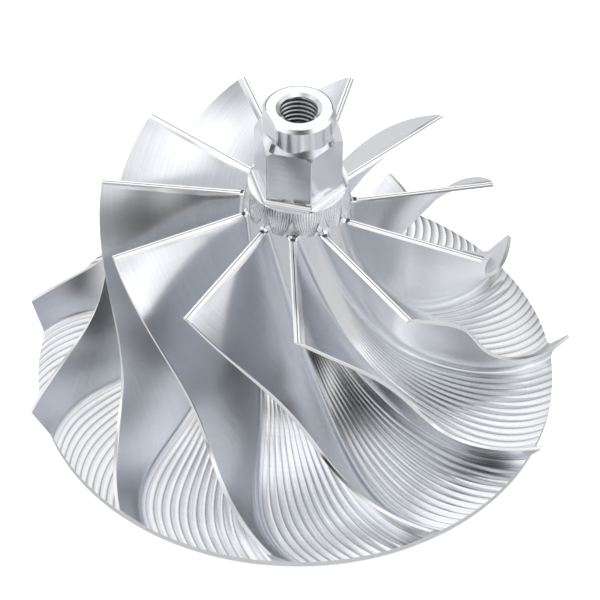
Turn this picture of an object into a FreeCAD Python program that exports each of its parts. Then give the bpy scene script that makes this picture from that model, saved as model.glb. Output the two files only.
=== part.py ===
import FreeCAD, Part
import Sketcher
import bisect
import math
import os

# Compressor wheel of a turbocharger, milled from one aluminium blank.
# Eleven full blades stand on a disc whose floor is milled in grooves.
# The nose carries a hexagon, a balancing ring and the threaded end of the bore.
# Millimetres and degrees, with +Z along the bore towards the nose.
# The origin lies in the middle of the flat ring on the back boss.

doc = FreeCAD.newDocument("CompressorWheel")

# Driving sizes: name, value and meaning.
# Heights named above the rim count from the lower edge of the disc's rim.
SIZES = [
    ("blade_count", 11, "full blades, evenly spaced"),
    ("blade_heading", -90.0, "direction of the zero of the wrap angles of one blade"),
    ("disc_radius", 50.0, "radius of the disc at its rim"),
    ("rim_thickness", 0.9, "rim height at the crests of the grooves"),
    ("back_depth", 6.0, "boss face to the lower edge of the rim"),
    ("back_land", 2.0, "width of the flat land under the rim"),
    ("boss_radius", 12.0, "outer radius of the boss on the back"),
    ("boss_step", 1.2, "height of the boss over the conical back"),
    ("boss_flare", 1.2, "width of the sloping wall round the boss"),
    ("inlet_height", 44.4, "leading edges above the rim"),
    ("inlet_hub_radius", 9.9, "hub radius at the leading edges"),
    ("inlet_tip_radius", 36.7, "blade tip radius at the leading edges"),
    ("exit_tip_radius", 53.2, "blade tip radius at the trailing edges"),
    ("exit_tip_height", 6.35, "blade tips above the rim at the trailing edges"),
    ("exit_foot_height", 0.15, "foot of the trailing edge over the groove crests"),
    ("hub_drop", 1.03, "axial pull of the hub curve, as a share of its height"),
    ("hub_swell", 2.1, "radial pull of the hub curve at the inlet"),
    ("hub_reach", 11.7, "radial pull of the hub curve at the rim"),
    ("hub_rise", 3.5, "axial pull of the hub curve at the rim"),
    ("tip_drop", 0.50, "axial pull of the tip curve, as a share of its height"),
    ("tip_swell", 0.55, "radial pull of the tip curve at the inlet"),
    ("tip_reach", 21.9, "radial pull of the tip curve at the exit"),
    ("tip_rise", 5.1, "axial pull of the tip curve at the exit"),
    ("hub_wrap_inlet", -4.8, "blade angle round the axis at the hub inlet"),
    ("hub_wrap_fore", 59.4, "second control angle at the hub"),
    ("hub_wrap_middle", 49.1, "third control angle at the hub"),
    ("hub_wrap_aft", 50.4, "fourth control angle at the hub"),
    ("hub_wrap_exit", 63.5, "blade angle at the hub exit"),
    ("tip_wrap_inlet", 0.6, "blade angle round the axis at the tip inlet"),
    ("tip_wrap_fore", 34.5, "second control angle at the tip"),
    ("tip_wrap_middle", 37.7, "third control angle at the tip"),
    ("tip_wrap_aft", 40.8, "fourth control angle at the tip"),
    ("tip_wrap_exit", 61.0, "blade angle at the tip exit"),
    ("root_thickness", 1.4, "blade thickness at the root"),
    ("tip_thickness", 0.75, "blade thickness at the tip"),
    ("edge_thinning", 0.95, "leading edge thickness as a share of the blade's"),
    ("root_fillet", 1.0, "width and height of the fillet at a blade's root"),
    ("groove_count", 4, "milled grooves in the floor between two blades"),
    ("cutter_radius", 13.0, "radius of the path across a groove"),
    ("neck_radius", 9.75, "radius of the smooth neck at the leading edges"),
    ("flange_radius", 9.2, "radius of the sharp edge under the hexagon"),
    ("flange_height", 49.65, "that edge above the rim"),
    ("base_fillet", 1.5, "radius of the fillet at the foot of each flat"),
    ("hex_flats", 14.4, "hexagon across its flats"),
    ("hex_angle", 46.7, "angle of one corner round the axis"),
    ("hex_shoulder_height", 60.85, "corners of the hexagon above the rim"),
    ("hex_chamfer_angle", 59.0, "slope of the chamfer over the corners"),
    ("ring_radius", 6.6, "radius of the balancing ring"),
    ("ring_foot_height", 61.6, "floor of the balancing cut above the rim"),
    ("balance_depth", 0.55, "depth of the balancing cut in the ring"),
    ("balance_cutter_radius", 11.0, "radius of the balancing cut"),
    ("balance_angle", -88.0, "direction of the balancing cut round the axis"),
    ("nose_height", 66.8, "top of the nose above the rim"),
    ("nose_chamfer", 0.5, "chamfer on the ring's upper edge"),
    ("pilot_radius", 4.2, "radius of the pilot bore"),
    ("thread_minor_radius", 3.46, "minor radius of the M8 x 1 thread"),
    ("thread_length", 15.0, "threaded length from the top of the nose"),
    ("thread_countersink_radius", 4.15, "radius of the countersink over the thread"),
    ("bore_chamfer", 0.5, "chamfer at the back end of the bore"),
]

sheet = doc.addObject("Spreadsheet::Sheet", "Sizes")
for row, (alias, value, meaning) in enumerate(SIZES, start=1):
    sheet.set("A%d" % row, alias)
    sheet.set("B%d" % row, str(value))
    sheet.set("C%d" % row, meaning)
    sheet.setAlias("B%d" % row, alias)
doc.recompute()


def size(alias):
    """Value of one cell of the sheet."""
    return float(sheet.get(alias))


# Sketches and revolved bodies

def origin_plane(body, role):
    """One of the body's own origin planes."""
    return next(plane for plane in body.Origin.OriginFeatures if plane.Role == role)


def new_sketch(body, role, name, height=None):
    """Sketch on an origin plane, lifted by a formula where one is given."""
    sketch = body.newObject("Sketcher::SketchObject", name)
    sketch.AttachmentSupport = (origin_plane(body, role), [""])
    sketch.MapMode = "FlatFace"
    if height is not None:
        sketch.setExpression("AttachmentOffset.Base.z", height)
    return sketch


def hold(sketch, kind, where, formula):
    """Adds a driving length to a sketch and binds it to a formula."""
    value = float(sketch.evalExpression(formula))
    index = sketch.addConstraint(Sketcher.Constraint(kind, *where, value))
    sketch.setExpression("Constraints[%d]" % index, formula)


def place_point(sketch, edge, end, corner):
    """Ties one end of an edge to a corner given by two formulas."""
    for axis, kind, formula in ((-2, "DistanceX", corner[0]), (-1, "DistanceY", corner[1])):
        if formula == "0":
            sketch.addConstraint(Sketcher.Constraint("PointOnObject", edge, end, axis))
        else:
            hold(sketch, kind, (-1, 1, edge, end), formula)


def arc_through(start, end, radius, side):
    """Arc between two points with its centre on the given side of their chord."""
    chord = end - start
    middle = (start + end) * 0.5
    across = FreeCAD.Vector(-chord.y, chord.x, 0).normalize()
    reach = math.sqrt(radius ** 2 - (chord.Length / 2) ** 2)
    centre = middle + across * reach * side
    first = math.atan2(start.y - centre.y, start.x - centre.x)
    last = math.atan2(end.y - centre.y, end.x - centre.x)
    circle = Part.Circle(centre, FreeCAD.Vector(0, 0, 1), radius)
    turn = (last - first) % (2 * math.pi)
    if turn < math.pi:
        return Part.ArcOfCircle(circle, first, last), 1, 2
    return Part.ArcOfCircle(circle, last, first), 2, 1


def draw_outline(sketch, corners, arcs=None):
    """Closed outline through corners; arcs maps a side to its radius formula and its hand."""
    arcs = arcs or {}
    points = [FreeCAD.Vector(*(float(sketch.evalExpression(f)) for f in corner)) for corner in corners]
    ends = []
    for k, start in enumerate(points):
        end = points[(k + 1) % len(points)]
        if k in arcs:
            radius = float(sketch.evalExpression(arcs[k][0]))
            geometry, first, last = arc_through(start, end, radius, arcs[k][1])
        else:
            geometry, first, last = Part.LineSegment(start, end), 1, 2
        ends.append((sketch.addGeometry(geometry, False), first, last))
    for k, (edge, first, last) in enumerate(ends):
        after, after_first, _ = ends[(k + 1) % len(ends)]
        sketch.addConstraint(Sketcher.Constraint("Coincident", edge, last, after, after_first))
        place_point(sketch, edge, first, corners[k])
        if k in arcs:
            hold(sketch, "Radius", (edge,), arcs[k][0])


def draw_circle(sketch, centre, radius):
    """Circle with its centre and radius held by formulas."""
    x, y, reach = (float(sketch.evalExpression(formula)) for formula in (*centre, radius))
    circle = Part.Circle(FreeCAD.Vector(x, y, 0), FreeCAD.Vector(0, 0, 1), reach)
    edge = sketch.addGeometry(circle, False)
    hold(sketch, "DistanceX", (-1, 1, edge, 3), centre[0])
    hold(sketch, "DistanceY", (-1, 1, edge, 3), centre[1])
    hold(sketch, "Radius", (edge,), radius)


def revolve(body, corners, name, arcs=None):
    """Solid of revolution about Z from an outline of radii and heights."""
    sketch = new_sketch(body, "XZ_Plane", name + "Profile")
    draw_outline(sketch, corners, arcs)
    turned = body.newObject("PartDesign::Revolution", name)
    turned.Profile = sketch
    turned.ReferenceAxis = (sketch, ["V_Axis"])
    turned.Angle = 360
    doc.recompute()
    return turned


# Flow path: hub and tip curves, blade sides and grooved floor

# Steps of the flow edges, their share past the rim, and the bands that rule a blade's side.
FLOW_STATIONS = 14
FLOW_OVERRUN = 0.04
BLADE_BANDS = 3
# Step that the slopes are taken over, and the share of the flow in which a blade gets thick.
SLOPE_STEP = 0.001
EDGE_GROWTH = 0.1
# Fine steps for measuring a curve's length, and how far past the rim they reach.
LENGTH_STEPS = 220
LENGTH_REACH = 1.1
SEW_GAP = 1e-4

RIM_LEVEL = size("back_depth")
HUB_RADII = [
    size("inlet_hub_radius"),
    size("inlet_hub_radius") + size("hub_swell"),
    size("disc_radius") - size("hub_reach"),
    size("disc_radius"),
]
HUB_FALL = size("inlet_height") - size("rim_thickness")
HUB_HEIGHTS = [
    RIM_LEVEL + size("inlet_height"),
    RIM_LEVEL + size("inlet_height") - size("hub_drop") * HUB_FALL,
    RIM_LEVEL + size("rim_thickness") + size("hub_rise"),
    RIM_LEVEL + size("rim_thickness"),
]
TIP_RADII = [
    size("inlet_tip_radius"),
    size("inlet_tip_radius") + size("tip_swell"),
    size("exit_tip_radius") - size("tip_reach"),
    size("exit_tip_radius"),
]
TIP_FALL = size("inlet_height") - size("exit_tip_height")
TIP_HEIGHTS = [
    RIM_LEVEL + size("inlet_height"),
    RIM_LEVEL + size("inlet_height") - size("tip_drop") * TIP_FALL,
    RIM_LEVEL + size("exit_tip_height") + size("tip_rise"),
    RIM_LEVEL + size("exit_tip_height"),
]
WRAP_STATIONS = ("inlet", "fore", "middle", "aft", "exit")
HUB_WRAP = [math.radians(size("hub_wrap_" + place)) for place in WRAP_STATIONS]
TIP_WRAP = [math.radians(size("tip_wrap_" + place)) for place in WRAP_STATIONS]


def bezier(values, t):
    """Point of the Bezier curve with these control values, by repeated halving in the ratio t."""
    while len(values) > 1:
        values = [a + (b - a) * t for a, b in zip(values, values[1:])]
    return values[0]


def stations():
    """Shares of the flow's length, from the leading edge to a little past the rim."""
    last = FLOW_STATIONS - 1
    return [(1 + FLOW_OVERRUN) * k / last for k in range(FLOW_STATIONS)]


class Streamline:
    """Curve on a surface of revolution: its radius, height, angle and slopes at t."""

    def __init__(self, radii, heights, wrap, t):
        self.r = bezier(radii, t)
        self.z = bezier(heights, t)
        self.angle = bezier(wrap, t)
        dr = bezier(radii, t + SLOPE_STEP) - self.r
        dz = bezier(heights, t + SLOPE_STEP) - self.z
        along = math.hypot(dr, dz)
        swirl = self.r * (bezier(wrap, t + SLOPE_STEP) - self.angle) / along
        self.skew = math.hypot(1, swirl)
        self.inward = (dz / along, -dr / along)

    def turn(self, width):
        """Angle round the axis that covers a width square to the curve."""
        return width * self.skew / self.r

    def point(self, angle, depth=0.0):
        """Point at an angle round the axis, sunk by a depth into the metal."""
        r = self.r + self.inward[0] * depth
        z = self.z + self.inward[1] * depth
        return FreeCAD.Vector(r * math.cos(angle), r * math.sin(angle), z)


def length_table(radii, heights, wrap):
    """Parameters of a curve and its length up to each, as a share of the length at t = 1."""
    steps = [LENGTH_REACH * k / LENGTH_STEPS for k in range(LENGTH_STEPS + 1)]
    lines = [Streamline(radii, heights, wrap, t) for t in steps]
    points = [line.point(line.angle) for line in lines]
    lengths = [0.0]
    for a, b in zip(points, points[1:]):
        lengths.append(lengths[-1] + a.distanceToPoint(b))
    whole = lengths[bisect.bisect_left(steps, 1.0)]
    return steps, [length / whole for length in lengths]


def at_share(table, share):
    """Parameter at a share of the length, read between two steps of the table."""
    steps, lengths = table
    k = bisect.bisect_left(lengths, share, lo=1)
    part = (share - lengths[k - 1]) / (lengths[k] - lengths[k - 1])
    return steps[k - 1] + part * (steps[k] - steps[k - 1])


HUB_TABLE = length_table(HUB_RADII, HUB_HEIGHTS, HUB_WRAP)
TIP_TABLE = length_table(TIP_RADII, TIP_HEIGHTS, TIP_WRAP)


def hub_line(share):
    return Streamline(HUB_RADII, HUB_HEIGHTS, HUB_WRAP, at_share(HUB_TABLE, share))


def tip_line(share):
    return Streamline(TIP_RADII, TIP_HEIGHTS, TIP_WRAP, at_share(TIP_TABLE, share))


def half_thickness(alias, share):
    """Half the blade's thickness, which grows behind the leading edge."""
    thin = size("edge_thinning")
    grown = 1 - math.exp(-share / EDGE_GROWTH)
    return size(alias) / 2 * (thin + (1 - thin) * grown)


def blade_point(share, side, height):
    """Point on one side of the blade, at a share of its height above the root fillet."""
    hub = hub_line(share)
    tip = tip_line(share)
    root = hub.point(hub.angle + side * hub.turn(half_thickness("root_thickness", share)))
    top = tip.point(tip.angle + side * tip.turn(half_thickness("tip_thickness", share)))
    foot = root + (top - root).normalize() * size("root_fillet")
    return foot + (top - foot) * height


def foot_angle(share, side):
    """Angle where the root fillet runs out on the floor."""
    hub = hub_line(share)
    width = half_thickness("root_thickness", share) + size("root_fillet")
    return hub.angle + side * hub.turn(width)


def floor_point(share, across, in_groove):
    """Point of the floor, at a share of the way across from one blade's foot to the next."""
    hub = hub_line(share)
    start = foot_angle(share, 1)
    span = 2 * math.pi / size("blade_count") + foot_angle(share, -1) - start
    pitch = span / size("groove_count") / hub.turn(1.0)
    depth = pitch ** 2 / (8 * size("cutter_radius")) if in_groove else 0.0
    return hub.point(start + span * across, depth)


def flow_edge(place):
    """Smooth edge through the points that place gives along the flow."""
    steps = stations()
    points = [place(share) for share in steps]
    points[0].z = HUB_HEIGHTS[0]
    curve = Part.BSplineCurve()
    curve.interpolate(Points=points, Parameters=steps)
    return curve.toShape()


def blade_edges():
    """Flow edges of one blade, from its foot over the tip to the fillet on the other side."""
    levels = [k / BLADE_BANDS for k in range(BLADE_BANDS + 1)]
    edges = [flow_edge(lambda share: hub_line(share).point(foot_angle(share, -1)))]
    for side, heights in ((-1, levels), (1, levels[::-1])):
        edges += [flow_edge(lambda share, q=q: blade_point(share, side, q)) for q in heights]
    return edges


def floor_edges():
    """Flow edges of the floor between two blades: crests and valleys in turn."""
    halves = 2 * int(size("groove_count"))
    return [
        flow_edge(lambda share, k=k: floor_point(share, k / halves, k % 2 == 1))
        for k in range(halves + 1)
    ]


def ladder_faces(left, right):
    """Faces between straight rungs that join two rows of points."""
    rungs = [Part.makeLine(a, b) for a, b in zip(left, right)]
    return [Part.makeRuledSurface(a, b) for a, b in zip(rungs, rungs[1:])]


def sector_faces():
    """Faces of one blade with its floor, and the edges of its inlet and of the rim below."""
    blade = blade_edges()
    floor = floor_edges()
    chain = blade + floor
    faces = [Part.makeRuledSurface(a, b) for a, b in zip(chain, chain[1:])]
    starts = [edge.valueAt(edge.FirstParameter) for edge in chain]
    inlet = [Part.makeLine(a, b) for a, b in zip(starts, starts[1:])]
    ends = [edge.valueAt(edge.LastParameter) for edge in chain]
    half = BLADE_BANDS + 2
    faces += ladder_faces(ends[:half], ends[2 * half - 1:half - 1:-1])
    rim = [ends[0]] + ends[len(blade):]
    below = [FreeCAD.Vector(point.x, point.y, RIM_LEVEL) for point in rim]
    faces += ladder_faces(rim, below)
    outline = [Part.makeLine(a, b) for a, b in zip(below, below[1:])]
    return faces, inlet, outline


def milled_solid():
    """Bladed core with its floor, from the inlet plane down to the rim's lower edge."""
    faces, inlet, outline = sector_faces()
    count = int(size("blade_count"))
    axis = FreeCAD.Vector(0, 0, 1)
    everything, top, bottom = [], [], []
    for k in range(count):
        turn = FreeCAD.Rotation(axis, size("blade_heading") + 360.0 * k / count)
        place = FreeCAD.Placement(FreeCAD.Vector(0, 0, 0), turn)
        for source, target in ((faces, everything), (inlet, top), (outline, bottom)):
            target.extend(shape.transformed(place.toMatrix(), True) for shape in source)
    for edges in (top, bottom):
        everything.append(Part.Face(Part.Wire(Part.__sortEdges__(edges))))
    skin = Part.Compound(everything)
    skin.sewShape(SEW_GAP)
    solid = Part.Solid(skin.Shells[0])
    if solid.Volume < 0:
        solid.reverse()
    return solid


milled = doc.addObject("Part::Feature", "MilledCore")
milled.Shape = milled_solid()

# Ring of metal turned away outside the rim and the trailing edges

# A cutting shape runs a millimetre past the metal.
PAST = " + 1"
SHORT = " - 1"

RIM = "Sizes.back_depth"
OUTSIDE = "Sizes.disc_radius + Sizes.exit_tip_radius"
FOOT = RIM + " + Sizes.rim_thickness + Sizes.exit_foot_height"
TIP = RIM + " + Sizes.exit_tip_height"
rim_tool = doc.addObject("PartDesign::Body", "RimTool")
revolve(
    rim_tool,
    [
        ("Sizes.disc_radius", RIM + SHORT),
        ("Sizes.disc_radius", FOOT),
        ("2 * Sizes.exit_tip_radius - Sizes.disc_radius",
         "2 * (%s) - (%s)" % (TIP, FOOT)),
        (OUTSIDE, "2 * (%s) - (%s)" % (TIP, FOOT)),
        (OUTSIDE, RIM + SHORT),
    ],
    "RimTurning",
)

bladed_disc = doc.addObject("Part::Cut", "BladedDisc")
bladed_disc.Base = milled
bladed_disc.Tool = rim_tool

# Conical back with its boss

back = doc.addObject("PartDesign::Body", "Back")
revolve(
    back,
    [
        ("0", "0"),
        ("Sizes.boss_radius", "0"),
        ("Sizes.boss_radius + Sizes.boss_flare", "Sizes.boss_step"),
        ("Sizes.disc_radius - Sizes.back_land", RIM),
        ("0", RIM),
    ],
    "BackTurning",
)

# Nose: neck, hollow base, hexagon, ring and balancing cut

NECK = RIM + " + Sizes.inlet_height"
FLANGE = RIM + " + Sizes.flange_height"
SHOULDER = RIM + " + Sizes.hex_shoulder_height"
TOP = RIM + " + Sizes.nose_height"
CORNER = "(Sizes.hex_flats / sqrt(3))"
CONE_RISE = "(%s - Sizes.ring_radius) * tan(Sizes.hex_chamfer_angle)" % CORNER
CONE_TOP = SHOULDER + " + " + CONE_RISE
nose = doc.addObject("PartDesign::Body", "Nose")
revolve(
    nose,
    [
        ("0", NECK),
        ("Sizes.neck_radius", NECK),
        ("Sizes.flange_radius", FLANGE),
        ("Sizes.flange_radius", CONE_TOP),
        ("Sizes.ring_radius", CONE_TOP),
        ("Sizes.ring_radius", TOP + " - Sizes.nose_chamfer"),
        ("Sizes.ring_radius - Sizes.nose_chamfer", TOP),
        ("0", TOP),
    ],
    "NoseTurning",
)

# One flat of the hexagon is milled with the fillet at its foot and repeated round the axis.
FLAT = "Sizes.hex_flats / 2"
FLAT_FOOT = FLAT + " + Sizes.base_fillet"
OUTER = FLAT_FOOT + " + Sizes.flange_radius"
flat_sketch = new_sketch(nose, "XZ_Plane", "FlatProfile")
flat_sketch.AttachmentOffset = FreeCAD.Placement(
    FreeCAD.Vector(0, 0, 0), FreeCAD.Rotation(FreeCAD.Vector(0, 1, 0), size("hex_angle") + 30))
flat_sketch.setExpression("AttachmentOffset.Rotation.Angle", "Sizes.hex_angle + 30")
draw_outline(
    flat_sketch,
    [
        (FLAT, FLANGE + " + Sizes.base_fillet"),
        (FLAT_FOOT, FLANGE),
        (OUTER, FLANGE),
        (OUTER, CONE_TOP + PAST),
        (FLAT, CONE_TOP + PAST),
    ],
    arcs={0: ("Sizes.base_fillet", 1)},
)
one_flat = nose.newObject("PartDesign::Pocket", "OneFlat")
one_flat.Profile = flat_sketch
one_flat.Midplane = True
one_flat.setExpression("Length", "4 * Sizes.flange_radius")
doc.recompute()

hexagon = nose.newObject("PartDesign::PolarPattern", "Hexagon")
hexagon.Originals = [one_flat]
hexagon.Axis = (flat_sketch, ["V_Axis"])
hexagon.Angle = 360
hexagon.Occurrences = 6
nose.Tip = hexagon
doc.recompute()

chamfer_sketch = new_sketch(nose, "XZ_Plane", "HexChamferProfile")
draw_outline(
    chamfer_sketch,
    [
        (CORNER + PAST, SHOULDER + " - tan(Sizes.hex_chamfer_angle)"),
        (CORNER + PAST, CONE_TOP + PAST),
        ("Sizes.ring_radius - 1 / tan(Sizes.hex_chamfer_angle)", CONE_TOP + PAST),
    ],
)
hex_chamfer = nose.newObject("PartDesign::Groove", "HexChamfer")
hex_chamfer.Profile = chamfer_sketch
hex_chamfer.ReferenceAxis = (chamfer_sketch, ["V_Axis"])
hex_chamfer.Angle = 360
doc.recompute()

BALANCE = "Sizes.ring_radius - Sizes.balance_depth + Sizes.balance_cutter_radius"
balance_sketch = new_sketch(nose, "XY_Plane", "BalanceSketch",
                            height=RIM + " + Sizes.ring_foot_height")
draw_circle(
    balance_sketch,
    ("(%s) * cos(Sizes.balance_angle)" % BALANCE, "(%s) * sin(Sizes.balance_angle)" % BALANCE),
    "Sizes.balance_cutter_radius",
)
balance_cut = nose.newObject("PartDesign::Pocket", "BalanceCut")
balance_cut.Profile = balance_sketch
balance_cut.Reversed = True
balance_cut.setExpression("Length", "Sizes.nose_height - Sizes.ring_foot_height" + PAST)
doc.recompute()

# Bore: pilot from the back, thread from the nose

bore_tool = doc.addObject("PartDesign::Body", "BoreTool")
THREAD_END = TOP + " - Sizes.thread_length"
STEP = "Sizes.pilot_radius - Sizes.thread_minor_radius"
SINK = "Sizes.thread_countersink_radius - Sizes.thread_minor_radius"
revolve(
    bore_tool,
    [
        ("0", "0" + SHORT),
        ("Sizes.pilot_radius + Sizes.bore_chamfer" + PAST, "0" + SHORT),
        ("Sizes.pilot_radius", "Sizes.bore_chamfer"),
        ("Sizes.pilot_radius", THREAD_END + " - (" + STEP + ")"),
        ("Sizes.thread_minor_radius", THREAD_END),
        ("Sizes.thread_minor_radius", TOP + " - (" + SINK + ")"),
        ("Sizes.thread_countersink_radius" + PAST, TOP + PAST),
        ("0", TOP + PAST),
    ],
    "BoreTurning",
)

blank = doc.addObject("Part::MultiFuse", "SolidWheel")
blank.Shapes = [bladed_disc, back, nose]

wheel = doc.addObject("Part::Cut", "Wheel")
wheel.Label = "compressor_wheel"
wheel.Base = blank
wheel.Tool = bore_tool
doc.recompute()

# Checks and export

for item in doc.Objects:
    if "Invalid" in item.State or "Error" in item.State:
        raise RuntimeError("object failed: " + item.Name)
if wheel.Shape.isNull() or not wheel.Shape.isValid():
    raise RuntimeError("bad shape: " + wheel.Label)
if len(wheel.Shape.Solids) != 1:
    raise RuntimeError("not one solid: " + wheel.Label)

os.makedirs("parts", exist_ok=True)
wheel.Shape.exportStep("parts/%s.step" % wheel.Label)
print("volume cm3", round(wheel.Shape.Volume / 1000, 2))
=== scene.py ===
# %% [markdown]
# Compressor wheel, milled from one blank of aluminium.
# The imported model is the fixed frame: it gives the place and the size of the real part.
# What is built here stands for that part with finer surfaces: every milled groove, the rounded
# roots and edges of the blades, and the thread in the nose.
# Lengths in this file are millimetres, and they become metres only when a mesh is written.

# %% Load the frame
import math

import bpy
import numpy as np
from mathutils import Matrix, Vector


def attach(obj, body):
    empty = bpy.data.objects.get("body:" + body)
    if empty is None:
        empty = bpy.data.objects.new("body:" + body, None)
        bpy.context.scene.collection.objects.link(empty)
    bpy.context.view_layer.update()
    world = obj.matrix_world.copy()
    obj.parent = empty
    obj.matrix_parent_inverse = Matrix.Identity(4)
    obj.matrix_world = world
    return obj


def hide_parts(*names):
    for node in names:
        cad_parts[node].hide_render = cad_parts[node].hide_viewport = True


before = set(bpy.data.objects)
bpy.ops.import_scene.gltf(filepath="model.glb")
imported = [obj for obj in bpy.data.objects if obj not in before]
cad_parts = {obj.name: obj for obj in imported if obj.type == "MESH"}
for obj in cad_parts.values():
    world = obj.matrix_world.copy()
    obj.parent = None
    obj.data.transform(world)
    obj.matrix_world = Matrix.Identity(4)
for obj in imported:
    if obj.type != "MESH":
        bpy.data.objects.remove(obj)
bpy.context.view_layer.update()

NODE = "compressor_wheel"
MM = 0.001

# %% [markdown]
# The flow path of the wheel comes first, because all else hangs on it.
# Two curves make it: the hub, where the floor of the passages lies, and the tip, where the blades end.
# Each is a Bezier curve of radius and height, with an angle round the axis that says how the blade wraps.
# A traced outline would need many points. A Bezier curve needs only a few control values,
# so the whole twisted blade comes from six short rows.

# %% Flow path
BLADES = 11
BACK_DEPTH = 6.0
INLET = BACK_DEPTH + 44.4
DISC_RADIUS = 50.0
RIM_THICKNESS = 0.9
EXIT_TIP = (53.2, BACK_DEPTH + 6.35)
HUB_RADIUS = (9.9, 12.0, 38.3, DISC_RADIUS)
HUB_HEIGHT = (INLET, INLET - 44.8, BACK_DEPTH + 4.4, BACK_DEPTH + RIM_THICKNESS)
HUB_WRAP = (-4.8, 59.4, 49.1, 50.4, 63.5)
TIP_RADIUS = (36.7, 37.25, 31.3, EXIT_TIP[0])
TIP_HEIGHT = (INLET, INLET - 19.0, BACK_DEPTH + 11.45, EXIT_TIP[1])
TIP_WRAP = (0.6, 34.5, 37.7, 40.8, 61.0)


def bezier(values, t):
    """Point of a Bezier curve: the control values are halved towards each other in the ratio t."""
    rows = [np.full_like(t, float(v)) for v in values]
    while len(rows) > 1:
        rows = [a + (b - a) * t for a, b in zip(rows, rows[1:])]
    return rows[0]


print("flow from height %.1f mm down to %.1f mm" % (HUB_HEIGHT[0], HUB_HEIGHT[-1]))

# %% [markdown]
# Equal steps of a Bezier curve aren't equal in length, and uneven rows would shade badly.
# So each curve keeps a table of its own length, and all that follows asks for a share of that length:
# 0 is the leading edge of the blade and 1 is the rim. The same share on both curves is one straight
# line up the blade, as the side of a milling cutter leaves it.

# %% Flow curves
# SLOPE_STEP is the small step of the parameter over which a direction is measured.
LENGTH_STEPS = 400
SLOPE_STEP = 0.001


class FlowCurve:
    """Hub or tip curve, read at shares of its own length."""

    def __init__(self, radius, height, wrap):
        self.radius, self.height = radius, height
        self.wrap = [math.radians(a) for a in wrap]
        t = np.linspace(0, 1, LENGTH_STEPS)
        r, z, a = self.at(t)
        steps = np.sqrt(np.diff(r * np.cos(a)) ** 2 + np.diff(r * np.sin(a)) ** 2 + np.diff(z) ** 2)
        run = np.concatenate(([0.0], np.cumsum(steps)))
        self.length = run[-1]
        self.table = run / self.length, t

    def at(self, t):
        return bezier(self.radius, t), bezier(self.height, t), bezier(self.wrap, t)

    def read(self, share):
        """Radius, height, angle, the skew of the blade and the direction into the metal.

        The skew is the root of one plus the square of radius times the change of angle per length,
        and it tells how much wider a cut along a circle is than a cut square to the blade.
        """
        t = np.interp(share, *self.table)
        r, z, a = self.at(t)
        r2, z2, a2 = self.at(t + SLOPE_STEP)
        along = np.hypot(r2 - r, z2 - z)
        skew = np.hypot(1, r * (a2 - a) / along)
        return r, z, a, skew, ((z2 - z) / along, -(r2 - r) / along)


hub = FlowCurve(HUB_RADIUS, HUB_HEIGHT, HUB_WRAP)
tip = FlowCurve(TIP_RADIUS, TIP_HEIGHT, TIP_WRAP)
print("hub curve %.1f mm long, tip curve %.1f mm long" % (hub.length, tip.length))

# %% [markdown]
# A mesh here is a set of grids. Each grid is a function of two parameters, worked out as whole arrays.
# The class below gathers them. Each face keeps a number for its finish and a pair of lengths,
# across and along the cut, so that tool marks can later follow the surface as on the real part.

# %% Gathering grids


def polar(r, angle, z):
    """Points from radius, angle and height: x is r cos, y is r sin."""
    r, angle, z = np.broadcast_arrays(r, angle, z)
    return np.stack((r * np.cos(angle), r * np.sin(angle), z), axis=-1)


class Surface:
    """Grids of points and faces that become one closed mesh."""

    def __init__(self):
        self.points, self.faces, self.uvs, self.finish = [], [], [], []
        self.count = 0

    def add_points(self, points):
        """Keeps the points and gives back their numbers, laid out in the same grid."""
        flat = np.asarray(points, float).reshape(-1, 3)
        first = self.count
        self.points.append(flat)
        self.count += len(flat)
        return np.arange(first, self.count).reshape(np.asarray(points).shape[:-1])

    def add_faces(self, faces, uvs, finish):
        self.faces.append(faces)
        self.uvs.append(uvs)
        self.finish.append(finish)

    def add_quads(self, index, finish, along=None, across=None):
        """Faces of a grid of point numbers; they face the cross product of rows and columns."""
        quad = np.stack((index[:-1, :-1], index[1:, :-1], index[1:, 1:], index[:-1, 1:]), axis=-1)
        rows, columns = index.shape
        along = np.arange(rows)[:, None] if along is None else along
        across = np.arange(columns)[None, :] if across is None else across
        v, u = np.broadcast_arrays(np.asarray(along, float), np.asarray(across, float))
        uv = np.stack((u, v), axis=-1)
        corners = np.stack((uv[:-1, :-1], uv[1:, :-1], uv[1:, 1:], uv[:-1, 1:]), axis=-2)
        finish = np.broadcast_to(np.asarray(finish), (rows - 1, columns - 1))
        self.add_faces(quad.reshape(-1, 4), corners.reshape(-1, 4, 2), finish.reshape(-1))


core = Surface()
print("empty surface ready")

# %% [markdown]
# Two rings with different numbers of points can't share a grid. The milled core and the turned nose
# meet in such rings. A fill tool might cross the gap with long thin faces, so both rings are walked
# together by angle, and each step adds one small triangle.

# %% Joining two rings
PAST_A_TURN = 7.0


def by_angle(index, points):
    """Numbers and angles of a ring's points in order of angle; the first one closes the ring."""
    angle = np.mod(np.arctan2(points[:, 1], points[:, 0]), 2 * math.pi)
    order = np.roll(np.arange(len(index)), -int(np.argmin(angle)))
    return np.append(index[order], index[order[0]]), np.append(angle[order], PAST_A_TURN)


def zip_rings(upper, lower, finish):
    """Triangles between two rings, each given as point numbers and points.

    The angles of both rings are sorted together, and each one is a step on its own ring.
    A step's triangle has the two points reached so far and the new one. It is written as a quad
    with one corner twice, which is taken out when the mesh is written.
    """
    first, first_angle = by_angle(*upper)
    second, second_angle = by_angle(*lower)
    order = np.argsort(np.concatenate((first_angle[1:], second_angle[1:])), kind="stable")
    on_first = order < len(first) - 1
    i = np.cumsum(on_first) - on_first
    j = np.cumsum(~on_first) - ~on_first
    faces = np.stack((first[i], second[j], second[j + ~on_first], first[i + on_first]), axis=-1)
    core.add_faces(faces, np.zeros((len(faces), 4, 2)), np.full(len(faces), finish))
    print("rings of %d and %d points joined" % (len(first) - 1, len(second) - 1))


print("rings end at angle %.1f, past a full turn" % PAST_A_TURN)

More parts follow.
